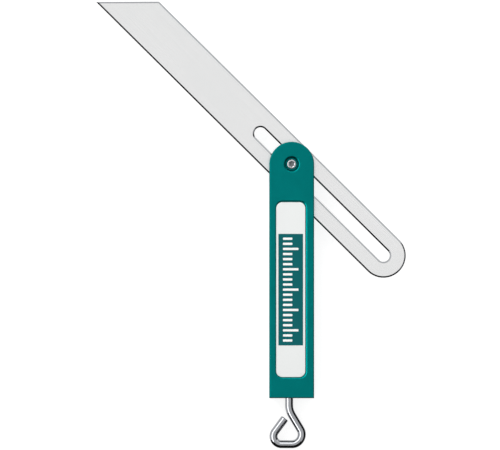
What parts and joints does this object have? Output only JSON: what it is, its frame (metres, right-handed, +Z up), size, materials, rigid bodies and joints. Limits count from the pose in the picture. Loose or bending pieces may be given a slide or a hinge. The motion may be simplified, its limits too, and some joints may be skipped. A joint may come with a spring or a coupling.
{
  "type": "sliding bevel gauge",
  "caption": "Sliding bevel gauge: a slotted steel blade with one mitred end turns and slides at the head of a flat handle, locked by a bent wire hook at the handle's tail.",
  "frame": {"origin": "on the blade's pivot axis, at the handle's back face, which the tool lies on", "axes": "+Z up along the pivot axis, out of the handle's front face; +Y along the handle from its tail to its head; +X to the right, seen from the front"},
  "size_m": [0.1528, 0.2207, 0.015],
  "materials": {
    "handle_anodised": "satin",
    "spacer_aluminium": "satin",
    "zinc_screw": "satin",
    "label_white": "satin",
    "label_teal": "satin",
    "spring_steel": "satin",
    "brass": "satin",
    "turned_steel": "satin",
    "nylon": "satin",
    "blade_steel": "satin",
    "rod_steel": "satin",
    "hook_chrome": "polished"
  },
  "bodies": {
    "handle": {"front_cheek": "handle_anodised", "back_cheek": "handle_anodised", "end_spacer": "spacer_aluminium", "tail_screws": "zinc_screw", "label_plate": "label_white", "label_panel": "label_teal", "return_spring": "spring_steel", "thread_bush": "brass"},
    "slot_guide": {"slot_slider": "brass", "friction_washer_back": "nylon", "friction_washer_front": "nylon"},
    "blade": {"blade": "blade_steel"},
    "push_rod": {"push_rod": "rod_steel"},
    "lock_hook": {"lock_hook": "hook_chrome"},
    "clamp_bolt": {"pivot_barrel": "turned_steel", "pivot_screw": "turned_steel"}
  },
  "joints": [
    {"name": "blade_swing", "type": "hinge", "parent": "handle", "child": "slot_guide", "pos_m": [0, 0, 0], "axis": [0, 0, 1], "range_deg": [-211.25, 120.75]},
    {"name": "blade_slide", "type": "slide", "parent": "slot_guide", "child": "blade", "axis": [-0.7102, 0.704, 0], "range_m": [-0.0201, 0.0623]},
    {"name": "rod_travel", "type": "slide", "parent": "handle", "child": "push_rod", "axis": [0, -1, 0], "range_m": [0, 0.00035]},
    {"name": "hook_turn", "type": "hinge", "parent": "push_rod", "child": "lock_hook", "pos_m": [-0.00115, -0.11, 0.0035], "axis": [0, -1, 0], "range_deg": [0, 180.1]},
    {"name": "clamp_lift", "type": "slide", "parent": "handle", "child": "clamp_bolt", "axis": [0, 0, 1], "range_m": [0, 0.000351]}
  ],
  "couplings": [
    {"joint": "hook_turn", "follows": "rod_travel", "rad_per_m": 8976},
    {"joint": "clamp_lift", "follows": "rod_travel", "ratio": 1}
  ]
}
